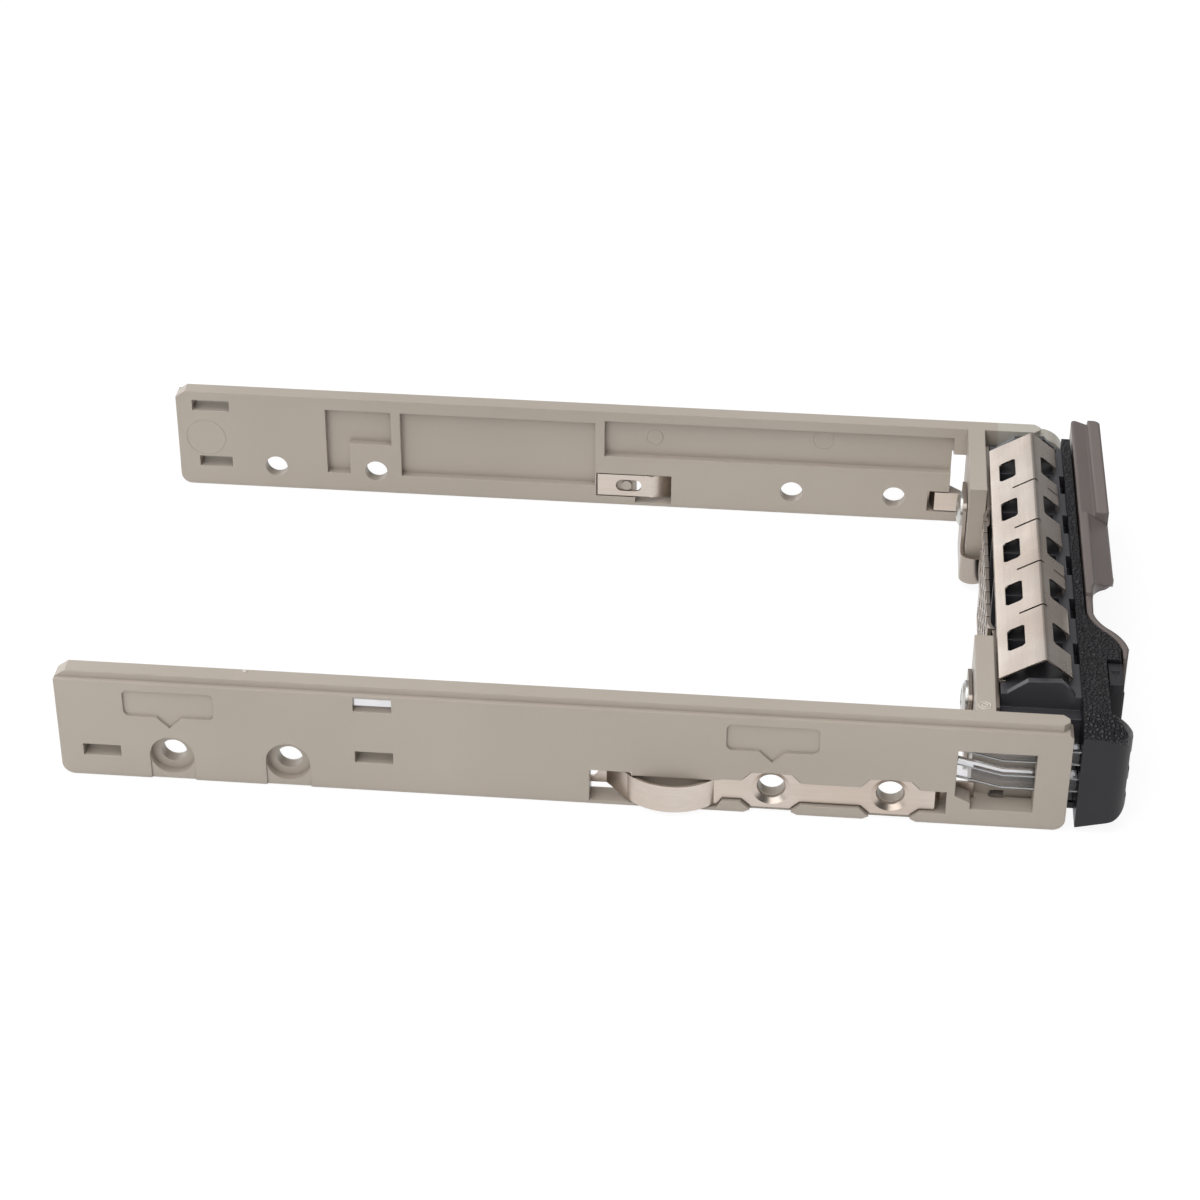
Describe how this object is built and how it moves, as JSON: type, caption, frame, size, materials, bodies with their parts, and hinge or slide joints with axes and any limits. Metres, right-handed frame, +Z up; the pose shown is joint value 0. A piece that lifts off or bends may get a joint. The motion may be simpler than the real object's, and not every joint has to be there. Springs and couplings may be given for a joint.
{
  "type": "drive caddy",
  "caption": "Front-loading carrier for a 2.5-inch drive: two side rails joined by a perforated plate, a black front module with a finger spring, and a swinging ejector handle with a sliding release.",
  "frame": {"origin": "on the plane of the rails' undersides, below the middle of the whole carrier", "axes": "+X to the right seen from the front, +Y to the rear where the drive's connector is, +Z up"},
  "size_m": [0.08, 0.1357, 0.0193],
  "materials": {
    "rail_plastic": "satin moulded",
    "spring_steel": "satin",
    "plated_sheet": "satin plated",
    "screw_steel": "polished",
    "black_plastic": "matt moulded",
    "cover_plastic": "grained",
    "finger_sheet": "satin",
    "light_pipe": "clear",
    "handle_plastic": "satin moulded",
    "button_plastic": "satin moulded"
  },
  "bodies": {
    "caddy": {"left_rail": "rail_plastic", "right_rail": "rail_plastic", "left_leaf_spring": "spring_steel", "right_leaf_spring": "spring_steel", "vent_plate": "plated_sheet", "left_arm_screw": "screw_steel", "right_arm_screw": "screw_steel", "front_module": "black_plastic", "bezel": "cover_plastic", "left_cover_screw": "screw_steel", "right_cover_screw": "screw_steel", "emi_spring": "finger_sheet", "upper_light_pipe": "light_pipe", "lower_light_pipe": "light_pipe", "lever_pin": "screw_steel", "lever_spring": "spring_steel", "button_spring": "spring_steel"},
    "handle": {"lever": "handle_plastic", "latch_hook": "plated_sheet", "hook_rivet": "screw_steel"},
    "button": {"release_button": "button_plastic"}
  },
  "joints": [
    {"name": "handle_hinge", "type": "hinge", "parent": "caddy", "child": "handle", "pos_m": [0.0363, -0.06425, 0.008], "axis": [0, 0, 1], "range_deg": [0, 65], "deforming": ["lever_spring"]},
    {"name": "button_slide", "type": "slide", "parent": "caddy", "child": "button", "axis": [-1, 0, 0], "range_m": [0, 0.0026], "stiffness_N_per_m": 300, "springref_m": -0.0015, "deforming": ["button_spring"]}
  ]
}
